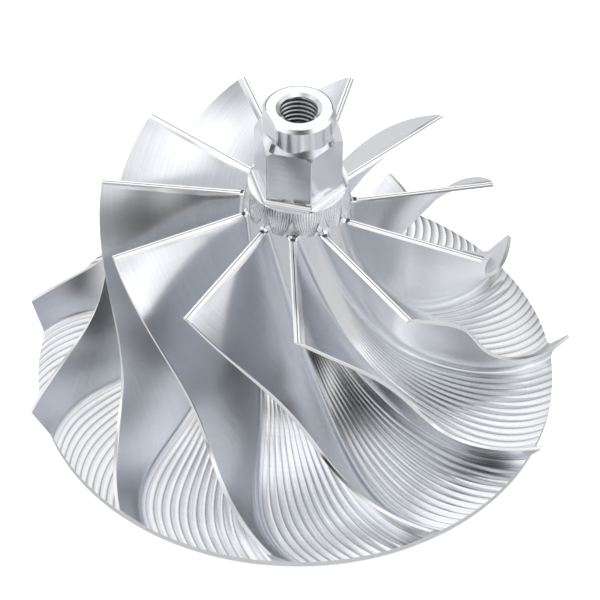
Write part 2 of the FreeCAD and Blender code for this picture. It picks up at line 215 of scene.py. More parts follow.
# %% [markdown]
# Neighbouring grids have points in the same places. They are joined in the arrays, by rounding and
# sorting, because this is faster than a merge in Blender and leaves every point where it is.
# Sharp edges are marked from the angle between faces, so crests and rims stay crisp
# while the twisted sides shade smoothly.

# %% Writing the mesh
# WELD_STEPS is how many places a millimetre is divided into when points are rounded.
WELD_STEPS = 2e4
SHARP_EDGE = math.radians(11)


def welded(surface):
    """Points and faces of the surface, with the points that round to the same place made one."""
    points, faces = np.vstack(surface.points), np.vstack(surface.faces)
    key = np.round(points * WELD_STEPS).astype(np.int64)
    _, first, number = np.unique(key, axis=0, return_index=True, return_inverse=True)
    return points[first], number.reshape(-1)[faces]


def real_corners(faces):
    """Which faces have an area, and which of their corners aren't the same point as the next one."""
    twice = faces == np.roll(faces, -1, axis=1)
    crossed = (faces[:, 0] == faces[:, 2]) | (faces[:, 1] == faces[:, 3])
    return (twice.sum(axis=1) < 2) & ~crossed, ~twice


def write_mesh(name, surface, materials):
    """Object of the surface: whole arrays go into its mesh, each face with as many corners as it needs."""
    points, faces = welded(surface)
    keep, corner = real_corners(faces)
    faces, corner = faces[keep], corner[keep]
    uvs, finish = np.vstack(surface.uvs)[keep], np.concatenate(surface.finish)[keep]
    sizes = corner.sum(axis=1)
    mesh = bpy.data.meshes.new(name)
    mesh.vertices.add(len(points))
    mesh.vertices.foreach_set("co", (points * MM).astype(np.float32).ravel())
    mesh.loops.add(int(sizes.sum()))
    mesh.loops.foreach_set("vertex_index", faces[corner].astype(np.int32))
    mesh.polygons.add(len(faces))
    starts = np.concatenate(([0], np.cumsum(sizes)[:-1])).astype(np.int32)
    mesh.polygons.foreach_set("loop_start", starts)
    mesh.polygons.foreach_set("material_index", finish.astype(np.int32))
    mesh.polygons.foreach_set("use_smooth", np.ones(len(faces), bool))
    layer = mesh.uv_layers.new(name="cut")
    layer.data.foreach_set("uv", uvs[corner].astype(np.float32).ravel())
    mesh.update(calc_edges=True)
    mesh.validate()
    mesh.set_sharp_from_angle(angle=SHARP_EDGE)
    piece = bpy.data.objects.new(name, mesh)
    bpy.context.scene.collection.objects.link(piece)
    for material in materials:
        mesh.materials.append(material)
    print("%s: %d points, %d triangles" % (name, len(points), int((sizes - 2).sum())))
    return piece


print("edges are sharp from %.0f degrees" % math.degrees(SHARP_EDGE))

# %% [markdown]
# The bladed core is one grid per sector. A chain of points runs across: up a root fillet, up one side
# of the blade, over its tip, down the other side and its fillet, and over the grooves of the floor.
# The chain is carried from the leading edge to the rim, and eleven turned copies close the ring.
# A loft of a few sections would lose the sharp crests, and a boolean of cutters would leave ragged edges.
# First come the thickness of a blade and the fillet at its root, which a ball cutter leaves.

# %% Blade thickness and root
# The blade starts at EDGE_THINNING of its thickness and grows to full within a share EDGE_GROWTH.
ROOT_THICKNESS = 1.4
TIP_THICKNESS = 0.75
EDGE_THINNING = 0.95
EDGE_GROWTH = 0.1
ROOT_FILLET = 1.0
FILLET_GROWTH = 1.0


def half_thickness(full, share):
    """Half the blade's thickness: thin at the leading edge and full a little behind it."""
    grown = 1 - np.exp(-share / EDGE_GROWTH)
    return full / 2 * (EDGE_THINNING + (1 - EDGE_THINNING) * grown)


def root_fillet(share, side):
    """Size of the root fillet: on the blade's hollow side it widens towards the rim."""
    return ROOT_FILLET + FILLET_GROWTH * share * (side < 0)


def foot_angle(share, side):
    """Angle at which a root fillet runs out on the floor."""
    r, _, a, skew, _ = hub.read(share)
    return a + side * (half_thickness(ROOT_THICKNESS, share) + root_fillet(share, side)) * skew / r


def hub_point(share, angle, depth=0.0):
    """Point of the floor at an angle, moved into the metal by a depth."""
    r, z, _, _, inward = hub.read(share)
    return polar(r + inward[0] * depth, angle, z + inward[1] * depth)


print("blade %.2f mm thick at the root and %.2f mm at the tip" % (ROOT_THICKNESS, TIP_THICKNESS))

# %% [markdown]
# A blade's side is straight from hub to tip, so it needs few points there and more in the fillet.
# The fillet is a quadratic curve: it leaves the floor, bends round the root, and runs into the side.
# The tip is turned with the whole wheel, so its points lie on a circle, between two small bevels.

# %% Side and tip of a blade
FILLET_STEPS = 9
SIDE_STEPS = 9
TIP_STEPS = 6
TIP_BEVEL = 0.09


def side_chain(share, side):
    """Points up one side of a blade: foot (1-u)^2 + root 2u(1-u) + rise u^2, then a line to the tip."""
    r, _, a, skew, _ = hub.read(share)
    root = hub_point(share, a + side * half_thickness(ROOT_THICKNESS, share) * skew / r)
    tr, tz, ta, tskew, _ = tip.read(share)
    half = half_thickness(TIP_THICKNESS, share)
    top = polar(tr, ta + side * half * tskew / tr, tz)
    line = top - root
    length = np.linalg.norm(line, axis=-1, keepdims=True)
    up = line / length
    foot = hub_point(share, foot_angle(share, side))
    rise = root + up * root_fillet(share, side)[:, None]
    u = np.linspace(0, 1, FILLET_STEPS + 1)[None, :, None]
    fillet = foot[:, None] * (1 - u) ** 2 + root[:, None] * 2 * u * (1 - u) + rise[:, None] * u ** 2
    w = np.linspace(0, 1, SIDE_STEPS + 1)[None, 1:, None]
    reach = root + up * (length - TIP_BEVEL)
    flank = rise[:, None] + (reach - rise)[:, None] * w
    return np.concatenate((fillet, flank), axis=1)


def tip_chain(share):
    """Points over the tip between its bevels: the angle runs evenly from one side to the other."""
    r, z, a, skew, _ = tip.read(share)
    half = half_thickness(TIP_THICKNESS, share) - TIP_BEVEL
    across = np.linspace(-1, 1, TIP_STEPS - 1)[None, :]
    return polar(r[:, None], a[:, None] + across * (half * skew / r)[:, None], z[:, None])


print("steps up a side:", FILLET_STEPS + SIDE_STEPS, "and over the tip:", TIP_STEPS)

# %% [markdown]
# The floor between two blades was cut by a ball cutter in eleven passes. Each pass leaves a shallow arc,
# and the arcs meet in sharp crests. A bump map would look flat at the rim, where the crests break
# the outline, so the grooves are real: the depth comes from the circle of the cutter.

# %% Grooved floor
CUTTER_RADIUS = 2.7
GROOVES = 11
GROOVE_STEPS = 6
SECTOR = 2 * math.pi / BLADES


def floor_chain(share):
    """Points over the grooves, from foot to foot.

    At a distance x from a groove's middle the depth is root(R^2 - x^2) - root(R^2 - p^2 / 4),
    with R the cutter's radius and p the pitch, so it is nothing at both crests.
    """
    steps = GROOVES * GROOVE_STEPS
    start = foot_angle(share, 1)
    span = SECTOR + foot_angle(share, -1) - start
    r, _, _, skew, _ = hub.read(share)
    pitch = (span / GROOVES * r / skew)[:, None]
    k = np.arange(steps + 1)[None, :]
    offset = ((k % GROOVE_STEPS) / GROOVE_STEPS - 0.5) * pitch
    deep = np.sqrt(CUTTER_RADIUS ** 2 - offset ** 2) - np.sqrt(CUTTER_RADIUS ** 2 - pitch ** 2 / 4)
    angle = start[:, None] + span[:, None] * k / steps
    grid_share = np.repeat(share[:, None], steps + 1, axis=1)
    return hub_point(grid_share, angle, deep)


print("grooves in all:", GROOVES * BLADES)

# %% [markdown]
# One sector is a blade and the floor beside it. Its rows stand a little closer at the leading edge,
# where the blade bends most. The last row is the rim, which was turned after the milling,
# so it is pulled onto one true circle.

# %% One sector
FLOW_ROWS = 57
ROW_CROWDING = 1.1

share = np.linspace(0, 1, FLOW_ROWS) ** ROW_CROWDING
left = side_chain(share, -1)
right = side_chain(share, 1)[:, ::-1]
blade = np.concatenate((left, tip_chain(share), right), axis=1)
floor = floor_chain(share)
rim_radius = np.hypot(floor[-1, :, 0], floor[-1, :, 1])[:, None]
floor[-1, :, :2] *= DISC_RADIUS / rim_radius
sector = np.concatenate((blade, floor[:, 1:-1]), axis=1)
BLADE_COLUMNS = blade.shape[1]
print("sector grid:", sector.shape[:2], "blade columns:", BLADE_COLUMNS)

# %% [markdown]
# At its leading edge each blade is closed by rungs from one side to the other.
# Both halves of the edge are bevelled, and the two cuts leave a fine line between them.
# Blender's Bevel can round such an edge, but it can't leave the line or fade out at the hub,
# so each rung is laid out in full: seven places across, of which the inner five are raised.

# %% Rungs across an edge
# A bevel takes at most BEVEL_LIMIT of the width, and the line needs LINE_ROOM times its own half width.
RUNG_STEPS = 6
EDGE_LINE_DEPTH = 0.12
BEVEL_LIMIT = 0.35
LINE_ROOM = 4
LEAST_WIDTH = 1e-6


def blade_rungs(chain, bevel, line):
    """Grid across a blade's end: pairs of points of the chain, joined over seven places.

    The places are both sides, both inner ends of the bevels, and the three points of the fine line.
    The second result says how far each place is raised: nothing at the sides, the bevel inside.
    """
    half = len(chain) // 2
    a, b = chain[:half + 1], chain[::-1][:half + 1]
    width = np.maximum(np.linalg.norm(b - a, axis=-1), LEAST_WIDTH)
    inner = np.minimum(bevel / width, BEVEL_LIMIT)
    beside = np.maximum(0.5 - line / width, inner)
    none = 0 * inner
    u = np.stack((none, inner, beside, none + 0.5, 1 - beside, 1 - inner, none + 1), axis=-1)
    points = a[:, None] + (b - a)[:, None] * u[..., None]
    lift = np.array([0, 1, 1, 1, 1, 1, 0]) * np.minimum(bevel, width[:, None])
    lift[:, RUNG_STEPS // 2] -= np.where(width > LINE_ROOM * line, EDGE_LINE_DEPTH, 0.0)
    return points, lift


print("places across an edge:", RUNG_STEPS + 1)

# %% [markdown]
# Near the neck the rungs rise in a small quarter circle, where the cutter had to stop.
# There and at the hub the raised places fade out, so the edge runs smoothly into the neck.
# The trailing edge was turned with the rim: its rungs are plain, with no bevel and no line.

# %% Leading and trailing edge
LEAD_BEVEL = 0.25
EDGE_LINE = 0.07
NECK_FILLET = 1.1
NECK_ARCH = np.array([0, 0.75, 1, 1, 1, 0.75, 0])

half_chain = BLADE_COLUMNS // 2
grown = np.minimum(np.arange(half_chain + 1) / FILLET_STEPS, 1.0)
grown = (grown * grown * (3 - 2 * grown))[:, None]
lead, lift = blade_rungs(sector[0, :BLADE_COLUMNS], LEAD_BEVEL, EDGE_LINE)
out_of_neck = np.hypot(lead[..., 0], lead[..., 1]).max(axis=1) - HUB_RADIUS[0]
near = np.clip(NECK_FILLET - out_of_neck, 0, NECK_FILLET)
neck_rise = (NECK_FILLET - np.sqrt(NECK_FILLET ** 2 - near ** 2))[:, None]
lead[..., 2] += lift * grown - LEAD_BEVEL * grown
lead[..., 2] += neck_rise * np.maximum(NECK_ARCH, grown)
side_height = lead[:, 0, 2]
sector[0, :half_chain + 1, 2] = side_height
sector[0, half_chain:BLADE_COLUMNS, 2] = side_height[::-1]
trail, _ = blade_rungs(sector[-1, :BLADE_COLUMNS], 0.0, 0.0)
print("leading edge grid:", lead.shape[:2], "trailing edge grid:", trail.shape[:2])

# %% [markdown]
# Above the blades the floor's grooves fan out, so that the same eleven grooves of each passage
# cover the whole neck up to the flange. They are deepest a third of the way up, shallow above that,
# and run out at both ends, so that the neck's first and last rings fit their neighbours.

# %% Neck
# At the flange a blade's edge has narrowed to the angle EDGE_LEFT_OVER, in radians.
NECK_ROWS = 9
FLANGE_RADIUS = 9.2
FLANGE_HEIGHT = BACK_DEPTH + 49.65
NECK_GROOVE_DEPTH = 0.095
EDGE_LEFT_OVER = 0.004
FADE_REACH, FADE_END = 1.6, 0.97


def groove_fade(rise):
    """Share of the groove's depth at a share of the neck's height: the root of a sine."""
    return np.sin(math.pi * np.minimum(rise * FADE_REACH, FADE_END)) ** 0.5


neck_foot = np.concatenate((lead[0], sector[0, BLADE_COLUMNS:]))
rise = np.linspace(0, 1, NECK_ROWS)[:, None]
foot_radius = np.hypot(neck_foot[:, 0], neck_foot[:, 1])[None, :]
foot_angles = np.unwrap(np.arctan2(neck_foot[:, 1], neck_foot[:, 0]))[None, :]
from_edge = np.arange(len(neck_foot)) - RUNG_STEPS
place = np.maximum(from_edge, 0) / (GROOVES * GROOVE_STEPS)
edge_middle = foot_angles[0, RUNG_STEPS // 2]
fan = edge_middle + SECTOR * place[None, :] + EDGE_LEFT_OVER * np.minimum(from_edge, 0) / RUNG_STEPS
neck_angles = foot_angles + (fan - foot_angles) * (rise * (2 - rise))
in_groove = from_edge % GROOVE_STEPS / GROOVE_STEPS
hollow = np.where(place > 0, 4 * in_groove * (1 - in_groove), 0.0)
neck_radius = foot_radius + (FLANGE_RADIUS - foot_radius) * rise
neck_radius = neck_radius - NECK_GROOVE_DEPTH * hollow * groove_fade(rise)
neck_radius[-1] = FLANGE_RADIUS
neck = polar(neck_radius, neck_angles, neck_foot[None, :, 2] * (1 - rise) + FLANGE_HEIGHT * rise)
print("neck grid:", neck.shape[:2])

# %% [markdown]
# Each face needs its finish and its pair of lengths before the copies are made.
# On the blade both are real lengths in millimetres. On the floor the first one counts grooves,
# so it is a whole number at each of the crests, and the crests can be given painted shade by it later.
# In the leading edge, the fine line and the spot where the edge meets the root get painted shade.

# %% Finishes and lengths of the core
FINISH_FLOOR, FINISH_SIDE, FINISH_EDGE, FINISH_TURNED, FINISH_SHADED_FLAT, FINISH_SHADED_THREAD, FINISH_SHADE = range(7)
# Rows of an edge count from the hub, and its six columns from the hollow side.
LINE_SHADE_COLUMNS = slice(2, 4)
SHADE_SPOT_ROWS, SHADE_SPOT_COLUMNS = slice(6, 9), slice(1, 5)


def width_across(grid):
    """Length run along each row of a grid."""
    steps = np.linalg.norm(np.diff(grid, axis=1), axis=-1)
    return np.concatenate((np.zeros((len(grid), 1)), np.cumsum(steps, axis=1)), axis=1)


blade_finish = np.full(BLADE_COLUMNS - 1, FINISH_SIDE)
blade_finish[half_chain - TIP_STEPS // 2:half_chain + TIP_STEPS // 2] = FINISH_EDGE
edge_finish = np.full((half_chain, RUNG_STEPS), FINISH_EDGE)
# painted shade: the fine line and a spot near the root are painted near black
edge_finish[:, LINE_SHADE_COLUMNS] = FINISH_SHADE
edge_finish[SHADE_SPOT_ROWS, SHADE_SPOT_COLUMNS] = FINISH_SHADE
along = (share * hub.length)[:, None]
blade_across = width_across(blade)
floor_across = np.arange(GROOVES * GROOVE_STEPS + 1)[None, :] / GROOVE_STEPS
neck_across = (np.arange(len(neck_foot) + 1) - RUNG_STEPS)[None, :] / GROOVE_STEPS
neck_along = rise * (INLET - FLANGE_HEIGHT)
print("blade %.1f mm long at its root" % along[-1, 0])
print("from foot to foot over its tip %.1f mm at the leading edge" % blade_across[0, -1])

# %% [markdown]
# The eleven sectors are equal, so each is the first one turned round the axis.
# An Array modifier could make them, but the nose and the back have to be joined to all of them,
# so the copies are kept as arrays. Each one ends with the first column of the next one,
# and the weld closes the ring.

# %% Eleven sectors
START = math.radians(-90)


def turned(points, k):
    """The points turned to the place of blade k."""
    angle = START + SECTOR * k
    c, s = math.cos(angle), math.sin(angle)
    turn = np.array([[c, s, 0], [-s, c, 0], [0, 0, 1]])
    return points @ turn


def closed(grid, k):
    """The turned grid with the first column of the next copy at its end."""
    return np.concatenate((turned(grid, k), turned(grid[:, :1], k + 1)), axis=1)


for k in range(BLADES):
    index = core.add_points(closed(sector, k))
    core.add_quads(index[:, :BLADE_COLUMNS], blade_finish[None, :], along, blade_across)
    core.add_quads(index[:, BLADE_COLUMNS - 1:], FINISH_FLOOR, along, floor_across)
    index = core.add_points(turned(lead, k))
    core.add_quads(index, edge_finish)
    index = core.add_points(turned(trail, k))
    core.add_quads(index[:, ::-1], FINISH_EDGE)
    index = core.add_points(closed(neck, k))
    core.add_quads(index[::-1], FINISH_FLOOR, neck_along[::-1], neck_across)
print("points in the core:", core.count)

# %% [markdown]
# The nose is turned and then milled. Each of its bands is a grid of angle and height whose two borders
# are curves: the foot of a flat is where it meets the hollow, and its head is where it meets the chamfer.
# A hexagon's outline is its half width over the cosine of the angle from the middle of a flat.
# Columns sit exactly on the corners, so the edges stay straight without any boolean.

# %% Hexagon
HEX_SIDES = 6
HEX_STEP = math.radians(60)
HEX_HALF = 7.2
HEX_CORNER_RADIUS = HEX_HALF / math.cos(HEX_STEP / 2)
HEX_CORNER_ANGLE = math.radians(46.7)
CORNER_BREAK = math.radians(0.65)
FLAT_COLUMNS = 21

corner_half = HEX_STEP / 2 - CORNER_BREAK
across_flat = np.linspace(-corner_half, corner_half, FLAT_COLUMNS)
angle_in_flat = np.tile(across_flat, HEX_SIDES)
flat_middles = HEX_CORNER_ANGLE + HEX_STEP / 2 + np.repeat(np.arange(HEX_SIDES), FLAT_COLUMNS) * HEX_STEP
full_turn = flat_middles[0] + angle_in_flat[0] + 2 * math.pi
nose_angles = np.append(flat_middles + angle_in_flat, full_turn)
angle_in_flat = np.append(angle_in_flat, angle_in_flat[0])
hex_radius = HEX_HALF / np.cos(angle_in_flat)
even = np.ones_like(nose_angles)
print("hexagon %.1f mm across flats, %d columns" % (2 * HEX_HALF, len(nose_angles)))

# %% [markdown]
# Above the hexagon the corners are turned to a steep cone that ends at the ring.
# In front, a milled cut takes the cone down to a level ledge. On the left, a small straight cut
# was taken from the ring to balance the wheel. Both cuts are limits on the height or the radius
# of a border, so a minimum of two curves makes each of them.

# %% Chamfer and cuts of the nose
FOOT_FILLET = 1.5
CORNER_HEAD = BACK_DEPTH + 60.85
CHAMFER_SLOPE = math.tan(math.radians(59))
RING_RADIUS = 6.7
LEDGE_HEIGHT = BACK_DEPTH + 61.65
CUT_MIDDLE, CUT_HALF = math.radians(-82), math.radians(51)
NOSE_TOP = BACK_DEPTH + 67.15
RING_BEVEL = 0.6
CHORD_MIDDLE, CHORD_REACH, CHORD_DEPTH = math.radians(-157), 5.75, 3.1
LEAST_COSINE = 0.5


def angle_from(middle):
    """Angle of each column of the nose from a direction, taken the short way round."""
    return np.abs(np.angle(np.exp(1j * (nose_angles - middle))))


flat_foot = FLANGE_HEIGHT + FOOT_FILLET
cone_head = CORNER_HEAD + (HEX_CORNER_RADIUS - RING_RADIUS) * CHAMFER_SLOPE
in_cut = angle_from(CUT_MIDDLE) < CUT_HALF
shoulder = np.where(in_cut, np.minimum(cone_head, LEDGE_HEIGHT), cone_head)
flat_head = np.minimum(cone_head - (hex_radius - RING_RADIUS) * CHAMFER_SLOPE, shoulder)
cone_radius = np.minimum(RING_RADIUS + (cone_head - shoulder) / CHAMFER_SLOPE, hex_radius)
chord_radius = CHORD_REACH / np.maximum(np.cos(angle_from(CHORD_MIDDLE)), LEAST_COSINE)
chord_foot = NOSE_TOP - CHORD_DEPTH
ring_side = np.minimum(RING_RADIUS, chord_radius)
ring_top = np.minimum(RING_RADIUS - RING_BEVEL, chord_radius)
side_head = np.minimum(NOSE_TOP, NOSE_TOP - RING_BEVEL + RING_RADIUS - ring_side)
print("nose %.1f mm high, with its cone from %.1f mm" % (NOSE_TOP, CORNER_HEAD))

# %% [markdown]
# A plain band is straight from one border to the other. The foot of a flat is a hollow that an
# end mill with a round corner left, so its height depends only on the distance from the flat.

# %% Bands of the nose
FLANGE_LAND = 0.1
FOOT_CROWDING = 0.8


def band(start, end, rows):
    """Grid between two borders, each given by its radii and heights: start + (end - start) w."""
    w = np.linspace(0, 1, rows)[:, None]
    r = start[0] * even + (end[0] - start[0]) * even * w
    z = start[1] * even + (end[1] - start[1]) * even * w
    return polar(r, nose_angles[None, :], z)


def foot_band(rows):
    """The fillet at the foot of each flat, and what it leaves of the flange outside it.

    Its height depends only on the distance d from the axis square to the flat:
    z = foot + R - root(R^2 - (H + R - d)^2), and the flange is level where d is more than H + R.
    """
    outer = FLANGE_RADIUS - FLANGE_LAND
    far = outer * np.cos(angle_in_flat)
    d = far - (far - HEX_HALF)[None, :] * np.linspace(0, 1, rows)[:, None] ** FOOT_CROWDING
    inside = np.clip(HEX_HALF + FOOT_FILLET - d, 0, FOOT_FILLET)
    z = FLANGE_HEIGHT + FOOT_FILLET - np.sqrt(FOOT_FILLET ** 2 - inside ** 2)
    return polar(d / np.cos(angle_in_flat), nose_angles[None, :], z)


def add_band(grid, finish):
    """Adds a band of the walk and gives back its point numbers; a finish may differ within it."""
    finish = np.broadcast_to(finish, (len(grid) - 1, grid.shape[1] - 1))
    run = np.linalg.norm(np.diff(grid, axis=0), axis=-1).mean(axis=1)
    along = np.concatenate(([0.0], np.cumsum(run)))[:, None]
    index = core.add_points(grid)
    core.add_quads(index[::-1], finish[::-1], along[::-1], nose_angles[None, :] * HEX_HALF)
    return index


print("flats rise from height %.2f mm" % flat_foot)

# %% [markdown]
# A thread could be a Screw modifier, but its ends would stay open and have to be closed by hand.
# Here the wall of the bore is one band whose rows follow the helix: they climb by one pitch in a turn.
# The gap between two crests is painted near black as painted shade, because little light reaches it, and
# the rest of the wall is a darker grey, also painted shade.

# %% Thread
# A row of faces lies in the gap when the mean depth of its borders is more than GAP_LEVEL.
THREAD_MINOR, THREAD_MAJOR, THREAD_PITCH = 3.46, 4.0, 1.0
THREAD_LENGTH = 15.0
THREAD_ROWS = 7
MOUTH_RADIUS = 4.18
MOUTH_DEPTH = 0.37
MOUTH_FADE = 0.25
WAVE_GAIN, WAVE_CUT = 1.35, 0.18
GAP_LEVEL = 0.55
THREAD_END = NOSE_TOP - THREAD_LENGTH


def thread_band():
    """Inner wall of the thread, from its mouth down, and the finish of each row of faces: painted shade,
    grey on the wall and near black in the gaps.

    Each row of points follows the helix: it climbs by one pitch in one turn, so crests stay smooth.
    The depth across a row's pitch is a triangle wave with its ends cut off, and fades at both ends.
    """
    top = NOSE_TOP - MOUTH_DEPTH
    turns = THREAD_LENGTH / THREAD_PITCH + 1
    step = np.arange(int(turns * THREAD_ROWS) + 1)[:, None] / THREAD_ROWS
    climb = (nose_angles - nose_angles[0])[None, :] / (2 * math.pi)
    z = np.clip(top + THREAD_PITCH * (climb - step), THREAD_END, top)
    wave = np.clip(np.abs((step % 1.0) * 2 - 1) * WAVE_GAIN - WAVE_CUT, 0, 1)
    fade = np.clip((z - THREAD_END) / THREAD_PITCH, 0, 1) * np.clip((top - z) / MOUTH_FADE, 0, 1)
    # painted shade: rows in the gaps are painted near black, the rest of the wall a darker grey
    kinds = np.where(wave[:-1] + wave[1:] > 2 * GAP_LEVEL, FINISH_SHADE, FINISH_SHADED_THREAD)
    return polar(THREAD_MINOR + (THREAD_MAJOR - THREAD_MINOR) * wave * fade, nose_angles[None, :], z), kinds


print("thread of %.0f turns" % (THREAD_LENGTH / THREAD_PITCH))

# %% [markdown]
# One walk over the turned part keeps every face pointing out of the metal: up the nose, over its top
# and down the thread. Each row of the list is a border of the walk, with the band that leads to it.
# A narrow strip of the ring's far edge is painted near black, a painted reflection of the dark side of the
# room.

# %% Walk over the nose
# The far side is where the sine of the angle round the axis is more than FAR_SIDE.
EDGE_BREAK = 0.15
FAR_SIDE = -0.1
FOOT_ROWS = 14

# painted reflection: the far half of the ring's edge gets the near black painted shade
far_edge_shade = np.where(np.sin(nose_angles[:-1]) > FAR_SIDE, FINISH_SHADE, FINISH_TURNED)[None, :]
nose_walk = [
    # radius and height of a border, then the rows and the finish of the band that leads to it
    (hex_radius, flat_foot, 0, None),
    (hex_radius, flat_head, 12, FINISH_SHADED_FLAT),
    (cone_radius, shoulder, 6, FINISH_TURNED),
    (RING_RADIUS, shoulder, 4, FINISH_TURNED),
    (RING_RADIUS, chord_foot, 4, FINISH_SHADED_FLAT),
    (ring_side, chord_foot, 2, FINISH_TURNED),
    (ring_side, side_head, 4, FINISH_SHADED_FLAT),
    (ring_top, NOSE_TOP, 3, FINISH_TURNED),
    (ring_top - EDGE_BREAK, NOSE_TOP, 2, far_edge_shade),
    (MOUTH_RADIUS, NOSE_TOP, 4, FINISH_TURNED),
    (THREAD_MINOR, NOSE_TOP - MOUTH_DEPTH, 3, FINISH_TURNED),
]
nose_foot = foot_band(FOOT_ROWS)
nose_ring = add_band(nose_foot, FINISH_TURNED)[0]
for (*start, _, _), (*end, rows, finish) in zip(nose_walk, nose_walk[1:]):
    add_band(band(start, end, rows), finish)
add_band(*thread_band())
print("bands of the nose, with its foot and thread:", len(nose_walk) + 1)

# %% [markdown]
# The walk goes on through the plain bore, out along the boss that the wheel stands on,
# and over the shallow cone of the back. Such a wheel has a flat boss there, which seats on the shaft.

# %% Bore and back
# Rows of the back are at most BACK_ROW apart, because the cone is straight.
BACK_LAND = 2.0
BOSS_RADIUS, BOSS_STEP, BOSS_FLARE = 12.0, 1.2, 1.2
PILOT_RADIUS, BORE_CHAMFER = 4.2, 0.5
PILOT_TOP = THREAD_END - (PILOT_RADIUS - THREAD_MINOR)
RIM_DROP = 0.45
BACK_ROW = 9.0

back_walk = [
    (THREAD_MINOR, THREAD_END),
    (PILOT_RADIUS, PILOT_TOP),
    (PILOT_RADIUS, BORE_CHAMFER),
    (PILOT_RADIUS + BORE_CHAMFER, 0.0),
    (BOSS_RADIUS, 0.0),
    (BOSS_RADIUS + BOSS_FLARE, BOSS_STEP),
    (DISC_RADIUS - BACK_LAND, BACK_DEPTH - RIM_DROP),
]
for start, end in zip(back_walk, back_walk[1:]):
    rows = 1 + math.ceil(math.dist(start, end) / BACK_ROW)
    back_ring = add_band(band(start, end, rows), FINISH_TURNED)[-1]
print("back ends at radius %.1f mm, height %.2f mm" % back_walk[-1])

# %% [markdown]
# The rim closes the core below: it drops from the grooves' ends to a small bevel and the back's land.
# Its columns are the core's, and the back has the nose's columns, so the two are zipped together,
# and so are the neck and the flange. With that the surface has no opening left.

# %% Rim and joints
RIM_BEVEL = 0.12

rim_edge = np.concatenate((trail[0], sector[-1, BLADE_COLUMNS:]))
upper = np.concatenate([turned(rim_edge, k) for k in range(BLADES)])
rim_angles = np.arctan2(upper[:, 1], upper[:, 0])
side_low = polar(DISC_RADIUS, rim_angles, BACK_DEPTH - RIM_DROP + RIM_BEVEL)
under = polar(DISC_RADIUS - RIM_BEVEL, rim_angles, BACK_DEPTH - RIM_DROP)
rim = core.add_points(np.stack((upper, side_low, under)))
core.add_quads(np.concatenate((rim, rim[:, :1]), axis=1), FINISH_TURNED)
back_points = band(back_walk[-1], back_walk[-1], 1)[0, :-1]
zip_rings((rim[2], under), (back_ring[:-1], back_points), FINISH_TURNED)
neck_top = np.concatenate([turned(neck[-1], k) for k in range(BLADES)])
zip_rings((nose_ring[:-1], nose_foot[0, :-1]), (core.add_points(neck_top), neck_top), FINISH_TURNED)

# %% [markdown]
# Shader nodes are easy to lose track of, so a few short helpers place and join them.
# The one for maths takes sockets or plain numbers, so a formula can be written from the inside out.

# %% Node helpers


def link(tree, pairs):
    """Joins each source socket to its target socket."""
    for source, target in pairs:
        tree.links.new(source, target)


def math_node(tree, operation, a, b=0.0):
    """Math node whose inputs are other sockets or numbers."""
    node = tree.nodes.new("ShaderNodeMath")
    node.operation = operation
    for socket, value in zip(node.inputs, (a, b)):
        if isinstance(value, (int, float)):
            socket.default_value = value
        else:
            tree.links.new(value, socket)
    return node.outputs[0]


def noise_node(tree, place, scale, detail):
    """Noise between 0 and 1, read at a place."""
    noise = tree.nodes.new("ShaderNodeTexNoise")
    noise.inputs["Scale"].default_value = scale
    noise.inputs["Detail"].default_value = detail
    tree.links.new(place, noise.inputs["Vector"])
    return noise.outputs["Fac"]


def pair_node(tree, x, y):
    """Vector of two sockets."""
    pair = tree.nodes.new("ShaderNodeCombineXYZ")
    link(tree, [(x, pair.inputs[0]), (y, pair.inputs[1])])
    return pair.outputs[0]


print("node helpers ready")

# %% [markdown]
# All of the wheel is one metal, and the way that it was cut differs from place to place.
# A cutter leaves fine parallel marks, so a shader group makes them from the two lengths stored with
# each face, and paints shade in thin lines along the crests. It gives back a roughness, a brightness
# and a bumped normal, and never a shader: the metal itself stays a plain node in the material, where it is
# easy to find and to change.

# %% Cutter marks and painted shade of crests
GROUP_INPUTS = {"Pitch": 0.3, "Depth": 0.1, "Roughness": 0.25, "Uneven": 0.1, "Streaks": 0.1,
               "Streak Size": 3.0, "Crests": 0.0}
GROUP_OUTPUTS = {"Roughness": "NodeSocketFloat", "Brightness": "NodeSocketFloat",
                "Normal": "NodeSocketVector"}
# The stretches are how slowly a mark changes across the cut, and a streak along it.
MARK_STRETCH, STREAK_STRETCH = 0.08, 0.06
CLOUD_SCALE = 90.0
CREST_SHARPNESS = 8.0
MARK_HEIGHT = 0.05 * MM


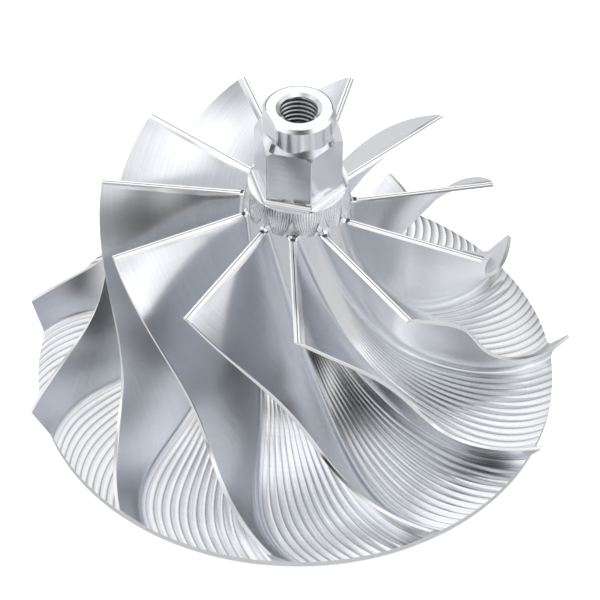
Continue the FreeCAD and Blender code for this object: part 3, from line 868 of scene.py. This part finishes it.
def cutter_marks_and_crest_shade():
    """Group: marks across the cut at a pitch in millimetres, streaks along it, and painted shade at the
    crests.

    A mark is noise that changes fast along one length and slowly along the other.
    The lines of painted shade lie on the crests, where the length across the cut is a whole number.
    The mask there is abs(2 f - 1)^8, with f the fraction between two crests, so it is a thin line on both
    sides.
    """
    tree = bpy.data.node_groups.new("CutterMarksAndCrestShade", "ShaderNodeTree")
    for name, value in GROUP_INPUTS.items():
        socket = tree.interface.new_socket(name, in_out="INPUT", socket_type="NodeSocketFloat")
        socket.default_value = value
    for name, kind in GROUP_OUTPUTS.items():
        tree.interface.new_socket(name, in_out="OUTPUT", socket_type=kind)
    given = tree.nodes.new("NodeGroupInput").outputs
    result = tree.nodes.new("NodeGroupOutput").inputs
    cut = tree.nodes.new("ShaderNodeUVMap")
    cut.uv_map = "cut"
    split = tree.nodes.new("ShaderNodeSeparateXYZ")
    tree.links.new(cut.outputs["UV"], split.inputs[0])
    across, along = split.outputs["X"], split.outputs["Y"]

    def work(operation, a, b=0.0):
        return math_node(tree, operation, a, b)

    def swing(noise, size):
        return work("MULTIPLY", work("SUBTRACT", noise, 0.5), size)

    mark_along = work("DIVIDE", along, given["Pitch"])
    mark_place = pair_node(tree, work("MULTIPLY", across, MARK_STRETCH), mark_along)
    marks = noise_node(tree, mark_place, 1.0, 1.0)
    place = tree.nodes.new("ShaderNodeTexCoord").outputs["Object"]
    clouds = swing(noise_node(tree, place, CLOUD_SCALE, 3.0), given["Uneven"])
    streak_across = work("MULTIPLY", across, given["Streak Size"])
    streak_place = pair_node(tree, streak_across, work("MULTIPLY", along, STREAK_STRETCH))
    streaks = swing(noise_node(tree, streak_place, 1.0, 3.0), given["Streaks"])
    twice = work("MULTIPLY", work("FRACT", across), 2.0)
    from_middle = work("ABSOLUTE", work("SUBTRACT", twice, 1.0))
    # painted shade: the brightness is darkened in a thin line along the crests
    crest_shade = work("MULTIPLY", work("POWER", from_middle, CREST_SHARPNESS), given["Crests"])
    lines = work("ADD", swing(marks, given["Depth"]), 1.0)
    light = work("ADD", work("ADD", clouds, streaks), lines)
    bump = tree.nodes.new("ShaderNodeBump")
    bump.inputs["Distance"].default_value = MARK_HEIGHT
    link(tree, [
        (work("ADD", given["Roughness"], clouds), result["Roughness"]),
        (work("MULTIPLY", light, work("SUBTRACT", 1.0, crest_shade)), result["Brightness"]),
        (given["Depth"], bump.inputs["Strength"]),
        (marks, bump.inputs["Height"]),
        (bump.outputs["Normal"], result["Normal"]),
    ])
    return tree


MARKS_AND_SHADE = cutter_marks_and_crest_shade()
print("group:", MARKS_AND_SHADE.name, "with", len(MARKS_AND_SHADE.nodes), "nodes")

# %% [markdown]
# Bare aluminium is a metallic surface, so its colour is the colour of its reflections.
# Each finish below is the same material with other marks, and some carry painted shade. The floor is
# bright, with painted shade in thin lines at its crests. The blades' sides are duller, because a long
# cutter leaves them rougher. The edges and the turned nose are smooth and clear. The flats are a darker
# copy of the metal, which is painted shade, the thread's grey is painted shade of the bore, and the
# last finish is painted shade alone, near black, for the thread's gaps, the leading edges' fine lines
# and root spots, and the ring's far edge.

# %% Finishes


def metal(name, colour, **group_settings):
    """Bare aluminium: the marks and the painted shade of the crests multiply the colour; the marks give the
    roughness and the normal.
    """
    material = bpy.data.materials.new(name)
    material.use_nodes = True
    tree = material.node_tree
    surface = tree.nodes["Principled BSDF"].inputs
    surface["Metallic"].default_value = 1.0
    group = tree.nodes.new("ShaderNodeGroup")
    group.node_tree = MARKS_AND_SHADE
    for socket, value in group_settings.items():
        group.inputs[socket.replace("_", " ")].default_value = value
    tint = tree.nodes.new("ShaderNodeMix")
    tint.data_type = "RGBA"
    tint.blend_type = "MULTIPLY"
    tint.inputs["Factor"].default_value = 1.0
    tint.inputs[6].default_value = (*colour, 1.0)
    link(tree, [
        (group.outputs["Brightness"], tint.inputs[7]),
        (tint.outputs[2], surface["Base Color"]),
        (group.outputs["Roughness"], surface["Roughness"]),
        (group.outputs["Normal"], surface["Normal"]),
    ])
    return material


FINISHES = [
    # the floor's crests get painted shade, in thin dark lines
    metal("milled_floor", (0.94, 0.95, 0.965), Roughness=0.17, Pitch=0.5, Depth=0.10, Uneven=0.08,
          Streaks=0.35, Streak_Size=3.0, Crests=0.65),
    metal("milled_side", (0.88, 0.895, 0.925), Roughness=0.24, Pitch=0.8, Depth=0.05, Uneven=0.06,
          Streaks=0.17, Streak_Size=2.0),
    metal("milled_edge", (0.97, 0.975, 0.98), Roughness=0.2, Depth=0.0, Uneven=0.0, Streaks=0.0),
    metal("turned_metal", (0.91, 0.92, 0.935), Roughness=0.14, Pitch=0.4, Depth=0.08, Uneven=0.06,
          Streaks=0.06, Streak_Size=1.0),
    # painted shade: the flats are a darker copy of the same metal
    metal("milled_flat_painted_shade", (0.78, 0.795, 0.83), Roughness=0.17, Pitch=0.35, Depth=0.12, Uneven=0.12,
          Streaks=0.1, Streak_Size=2.5),
    # painted shade: the thread's wall is a darker grey than the metal
    metal("thread_painted_shade", (0.56, 0.565, 0.58), Roughness=0.16, Depth=0.0, Uneven=0.0, Streaks=0.0),
    # painted shade: near black, for gaps, lines and spots where little light reaches
    metal("painted_shade", (0.12, 0.125, 0.14), Roughness=0.4, Depth=0.0, Uneven=0.0, Streaks=0.0),
]
print("finishes:", [material.name for material in FINISHES])

# %% [markdown]
# The wheel is one mesh and stands for the one node of the frame.
# It doesn't move, so it rides on the root body.

# %% The wheel
wheel = write_mesh("wheel", core, FINISHES)
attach(wheel, "root")
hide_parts(NODE)

# %% [markdown]
# The floor is a pale plane that keeps the contact shadow. A little glow is added for the eye of the
# camera alone, which lifts the plane to white as in a bright studio. The metal doesn't see the glow,
# so it isn't lit from below.

# %% Floor
FLOOR_HALF = 3.0
FLOOR_GAP = 0.02 * MM
FLOOR_WHITE = 0.9
FLOOR_GLOW = 0.75


def emission_floor():
    """Floor material: matt white, plus a white glow that only camera rays see."""
    material = bpy.data.materials.new("studio_floor")
    material.use_nodes = True
    tree = material.node_tree
    matt = tree.nodes["Principled BSDF"]
    matt.inputs["Base Color"].default_value = (FLOOR_WHITE, FLOOR_WHITE, FLOOR_WHITE, 1.0)
    matt.inputs["Roughness"].default_value = 0.9
    matt.inputs["Specular IOR Level"].default_value = 0.1
    glow = tree.nodes.new("ShaderNodeEmission")
    seen = tree.nodes.new("ShaderNodeLightPath").outputs["Is Camera Ray"]
    tree.links.new(math_node(tree, "MULTIPLY", seen, FLOOR_GLOW), glow.inputs["Strength"])
    both = tree.nodes.new("ShaderNodeAddShader")
    link(tree, [(matt.outputs[0], both.inputs[0]), (glow.outputs[0], both.inputs[1]),
                (both.outputs[0], tree.nodes["Material Output"].inputs["Surface"])])
    return material


floor_mesh = bpy.data.meshes.new("floor")
sides = ((-1, -1), (1, -1), (1, 1), (-1, 1))
corners = [(x * FLOOR_HALF, y * FLOOR_HALF, -FLOOR_GAP) for x, y in sides]
floor_mesh.from_pydata(corners, [], [(0, 1, 2, 3)])
floor_mesh.materials.append(emission_floor())
floor_piece = bpy.data.objects.new("floor", floor_mesh)
bpy.context.scene.collection.objects.link(floor_piece)
print("floor %.1f m wide" % (2 * FLOOR_HALF))

# %% [markdown]
# Bare metal shows its surroundings more than it shows light, so the room matters most.
# The room is a set of round soft panels, in rows at several heights. An image of a room would do it too,
# but a few numbers for each panel are easier to change, and the script needs no image.
# Their places and brightness come from a fit to the light and dark faces of the real wheel, rounded.
# The three narrow rows stand on the camera's side, and what they leave open is the dark of the room.
# There the metal turns dark, which draws the grooves and the blades' roots.

# %% Panels of the room
# A panel's focus is the power of the cosine: the higher it is, the narrower the panel.
WIDE, NARROW = 30.0, 80.0
PANEL_ROWS = [
    # focus, height in degrees, then azimuth in degrees and brightness of each panel
    (WIDE, 2, [(0, 0.84), (26, 0.53), (51, 0.44), (129, 1.0),
               (154, 1.07), (180, 0.7), (206, 0.1), (334, 1.3)]),
    (WIDE, 22, [(10, 0.76), (65, 0.33), (93, 0.85), (121, 0.5), (148, 0.23),
                (176, 1.2), (204, 1.13), (232, 0.9), (315, 0.82), (342, 0.45)]),
    (WIDE, 42, [(0, 1.2), (33, 0.54), (65, 0.77), (98, 0.87),
                (131, 0.77), (196, 0.82), (229, 0.81), (327, 1.07)]),
    (WIDE, 62, [(0, 0.42), (51, 0.82), (103, 0.57), (154, 0.93), (206, 0.47), (257, 0.09)]),
    (WIDE, 72, [(317, 0.6)]),
    (WIDE, 86, [(0, 0.93)]),
    (NARROW, 30, [(248, 0.5), (263, 0.4)]),
    (NARROW, 45, [(270, 0.05), (290, 0.12)]),
    (NARROW, 60, [(250, 0.86), (290, 0.12)]),
]


def panel_glow(tree, direction, focus, height, azimuth, brightness):
    """Brightness of one panel seen along a direction: brightness * max(0, cos)^focus."""
    a, h = math.radians(azimuth), math.radians(height)
    cosine = tree.nodes.new("ShaderNodeVectorMath")
    cosine.operation = "DOT_PRODUCT"
    tree.links.new(direction, cosine.inputs[0])
    level = math.cos(h)
    cosine.inputs[1].default_value = (level * math.cos(a), level * math.sin(a), math.sin(h))
    facing = math_node(tree, "MAXIMUM", cosine.outputs["Value"], 0.0)
    return math_node(tree, "MULTIPLY", math_node(tree, "POWER", facing, focus), brightness)


print("panels in the room:", sum(len(row) for _, _, row in PANEL_ROWS))

# %% [markdown]
# The world adds the panels up. It needs no lamp, because the panels light the wheel as well.
# The camera itself sees plain white behind the wheel: Light Path tells its rays from all others.

# %% World
ROOM_TINT = (0.982, 0.984, 1.0, 1.0)
WHITE = (1.0, 1.0, 1.0, 1.0)

world = bpy.data.worlds.new("studio")
bpy.context.scene.world = world
world.use_nodes = True
tree = world.node_tree
tree.nodes.clear()
direction = tree.nodes.new("ShaderNodeTexCoord").outputs["Generated"]
glow = 0.0
for focus, height, row in PANEL_ROWS:
    for azimuth, brightness in row:
        panel = panel_glow(tree, direction, focus, height, azimuth, brightness)
        glow = math_node(tree, "ADD", panel, glow)
room = tree.nodes.new("ShaderNodeBackground")
room.inputs["Color"].default_value = ROOM_TINT
backdrop = tree.nodes.new("ShaderNodeBackground")
backdrop.inputs["Color"].default_value = WHITE
seen = tree.nodes.new("ShaderNodeLightPath").outputs["Is Camera Ray"]
choice = tree.nodes.new("ShaderNodeMixShader")
out = tree.nodes.new("ShaderNodeOutputWorld")
link(tree, [(glow, room.inputs["Strength"]), (seen, choice.inputs[0]), (room.outputs[0], choice.inputs[1]),
            (backdrop.outputs[0], choice.inputs[2]), (choice.outputs[0], out.inputs["Surface"])])
print("nodes in the world:", len(tree.nodes))

# %% [markdown]
# The camera stands where the real one did: its height, distance and lens came from fitting
# the eleven repeated blades to the picture. It looks at a point inside the wheel from the front,
# and the small roll and the lens shift move the frame only.

# %% Camera
# Distances are metres here, as the camera stands in the scene and not in the mesh.
ELEVATION = math.radians(44.304)
DISTANCE = 0.55091
ROLL = math.radians(0.771)
AIM = Vector((0, 0, 0.031))
FOCAL_LENGTH, SENSOR_WIDTH = 174.82, 36.0
SHIFT_X, SHIFT_Y = 0.00555, -0.0394
NEAREST = 0.05

backward = Vector((0, -math.cos(ELEVATION), math.sin(ELEVATION)))
up_level = Vector((0, math.sin(ELEVATION), math.cos(ELEVATION)))
right_level = Vector((1, 0, 0))
right = right_level * math.cos(ROLL) + up_level * math.sin(ROLL)
upward = up_level * math.cos(ROLL) - right_level * math.sin(ROLL)
pose = Matrix((right, upward, backward)).transposed().to_4x4()
pose.translation = AIM + backward * DISTANCE
lens = bpy.data.cameras.new("camera")
lens.lens, lens.sensor_width = FOCAL_LENGTH, SENSOR_WIDTH
lens.shift_x, lens.shift_y = SHIFT_X, SHIFT_Y
lens.clip_start = NEAREST
camera = bpy.data.objects.new("camera", lens)
camera.matrix_world = pose
bpy.context.scene.collection.objects.link(camera)
bpy.context.scene.camera = camera
bpy.context.scene.view_settings.view_transform = "Standard"
print("camera at", [round(v, 3) for v in pose.translation])
